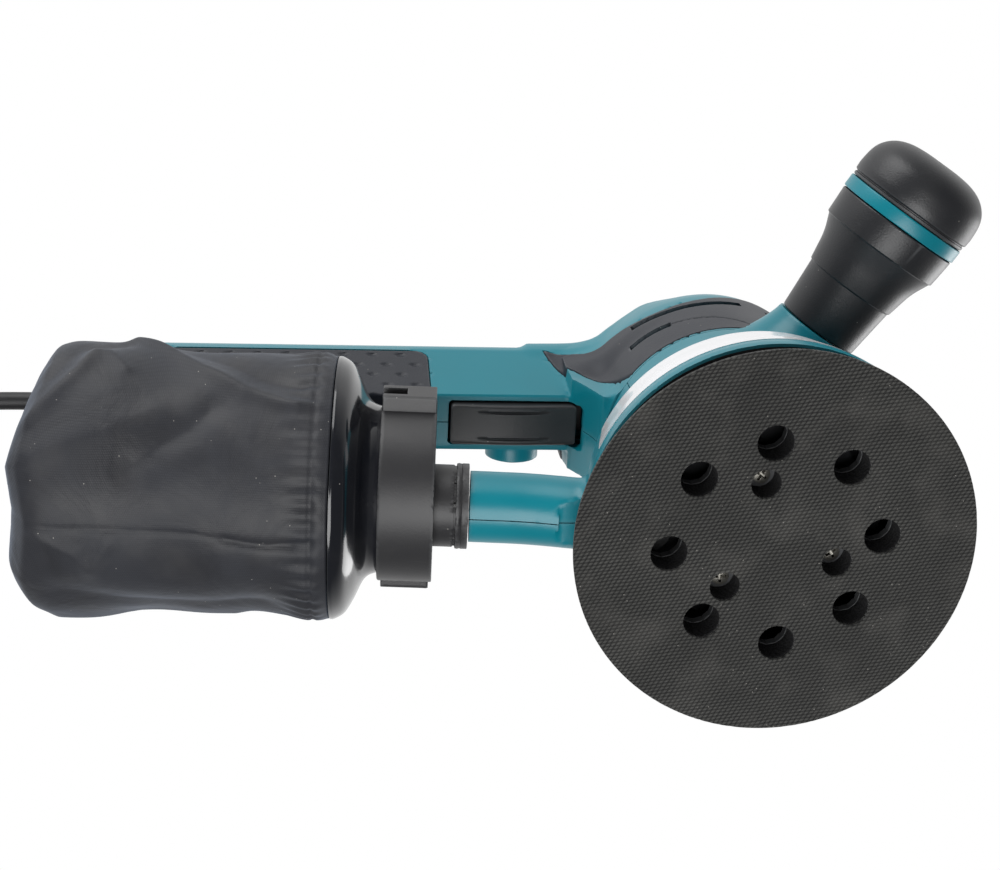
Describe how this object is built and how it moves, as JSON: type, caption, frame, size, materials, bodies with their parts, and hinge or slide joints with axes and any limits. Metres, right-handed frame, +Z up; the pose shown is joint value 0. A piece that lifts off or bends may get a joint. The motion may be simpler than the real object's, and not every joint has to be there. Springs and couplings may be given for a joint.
{
  "type": "random orbital sander",
  "caption": "Random orbital sander with an in-line rear handle, swinging front knob, perforated round pad, duct-mounted dust bag and mains cord.",
  "frame": {"origin": "on the motor axis, in the plane of the pad's sanding face, which the sander rests on", "axes": "+X forward, +Y to the user's left, +Z up along the motor axis, away from the work"},
  "size_m": [0.5149, 0.2094, 0.156],
  "materials": {
    "teal_plastic": "satin moulded plastic, fine texture",
    "black_plastic": "satin black moulded plastic",
    "gloss_black": "glossy black moulded plastic",
    "soft_rubber": "matt moulded elastomer with a fine grain",
    "label_film": "blank printed film",
    "hook_cloth": "hook-and-loop knit",
    "foam": "closed-cell foam edge",
    "bag_cloth": "coated woven nylon",
    "bright_steel": "ground steel",
    "dark_steel": "black zinc-plated steel",
    "cast_aluminium": "die-cast",
    "copper_windings": "varnished copper windings on laminations",
    "brass": "drawn brass",
    "carbon": "pressed carbon",
    "circuit_board": "potted circuit board",
    "cord_sheath": "round rubber sheath"
  },
  "bodies": {
    "housing": {"housing_left": "teal_plastic", "housing_right": "teal_plastic", "switch_unit": "black_plastic", "cord_clamp": "black_plastic", "fan_baffle": "black_plastic", "rubber_panel_left": "soft_rubber", "rubber_panel_right": "soft_rubber", "handle_grip_left": "soft_rubber", "handle_grip_right": "soft_rubber", "cord_guard": "soft_rubber", "pad_brake_ring": "soft_rubber", "label_band": "label_film", "cord_tie": "bag_cloth", "bearing_lower": "bright_steel", "bearing_upper": "bright_steel", "trigger_pin": "bright_steel", "dial_pin": "bright_steel", "housing_screw_1": "dark_steel", "housing_screw_2": "dark_steel", "housing_screw_3": "dark_steel", "housing_screw_4": "dark_steel", "housing_screw_5": "dark_steel", "field_core": "dark_steel", "brush_holder_1": "brass", "brush_holder_2": "brass", "plug_pin_1": "brass", "plug_pin_2": "brass", "carbon_brush_1": "carbon", "carbon_brush_2": "carbon", "speed_board": "circuit_board", "cord_lead": "cord_sheath", "cord_coil": "cord_sheath", "cord_tail": "cord_sheath", "plug_body": "cord_sheath"},
    "spindle": {"eccentric_fan": "cast_aluminium", "armature_shaft": "bright_steel", "armature_core": "copper_windings", "commutator": "brass"},
    "pad": {"pad_hook_face": "hook_cloth", "pad_cushion": "foam", "pad_plate": "black_plastic", "pad_hub": "bright_steel", "pad_bearing": "bright_steel", "pad_screw_1": "dark_steel", "pad_screw_2": "dark_steel", "pad_screw_3": "dark_steel"},
    "trigger": {"trigger": "black_plastic"},
    "lock_button": {"lock_button": "black_plastic"},
    "speed_dial": {"speed_dial": "black_plastic"},
    "front_grip": {"grip_collar": "teal_plastic", "collar_strap": "teal_plastic", "collar_screw_1": "dark_steel", "collar_screw_2": "dark_steel"},
    "knob": {"knob_body": "soft_rubber", "knob_band": "teal_plastic", "knob_cap": "soft_rubber", "knob_stud": "bright_steel"},
    "dust_nozzle": {"dust_nozzle": "black_plastic"},
    "dust_bag": {"bag_frame": "gloss_black", "dust_bag": "bag_cloth"}
  },
  "joints": [
    {"name": "spindle_spin", "type": "hinge", "parent": "housing", "child": "spindle", "pos_m": [0, 0, 0], "axis": [0, 0, 1], "continuous": true},
    {"name": "pad_spin", "type": "hinge", "parent": "spindle", "child": "pad", "pos_m": [-0.0014, 0, 0], "axis": [0, 0, 1], "continuous": true},
    {"name": "trigger_pull", "type": "hinge", "parent": "housing", "child": "trigger", "pos_m": [-0.088, 0, 0.12], "axis": [0, -1, 0], "range_deg": [0, 6], "stiffness_Nm_per_rad": 0.6, "springref_deg": -11.46},
    {"name": "lock_press", "type": "slide", "parent": "housing", "child": "lock_button", "axis": [0, -1, 0], "range_m": [0, 0.0025], "stiffness_N_per_m": 400, "springref_m": -0.001},
    {"name": "dial_turn", "type": "hinge", "parent": "housing", "child": "speed_dial", "pos_m": [-0.1885, 0, 0.144], "axis": [0, 1, 0], "range_deg": [0, 240]},
    {"name": "grip_swing", "type": "hinge", "parent": "housing", "child": "front_grip", "pos_m": [0, 0, 0.068], "axis": [0, 0, 1], "range_deg": [-5, 115]},
    {"name": "knob_turn", "type": "hinge", "parent": "front_grip", "child": "knob", "pos_m": [0, 0, 0.0845], "axis": [0.5417, -0.8406, 0], "continuous": true},
    {"name": "bag_off", "type": "slide", "parent": "housing", "child": "dust_nozzle", "axis": [-0.9969, 0, 0.0785], "range_m": [0, 0.03]},
    {"name": "frame_turn", "type": "hinge", "parent": "dust_nozzle", "child": "dust_bag", "pos_m": [-0.09056, 0, 0.04176], "axis": [-0.9969, 0, 0.0785], "range_deg": [0, 30]}
  ]
}
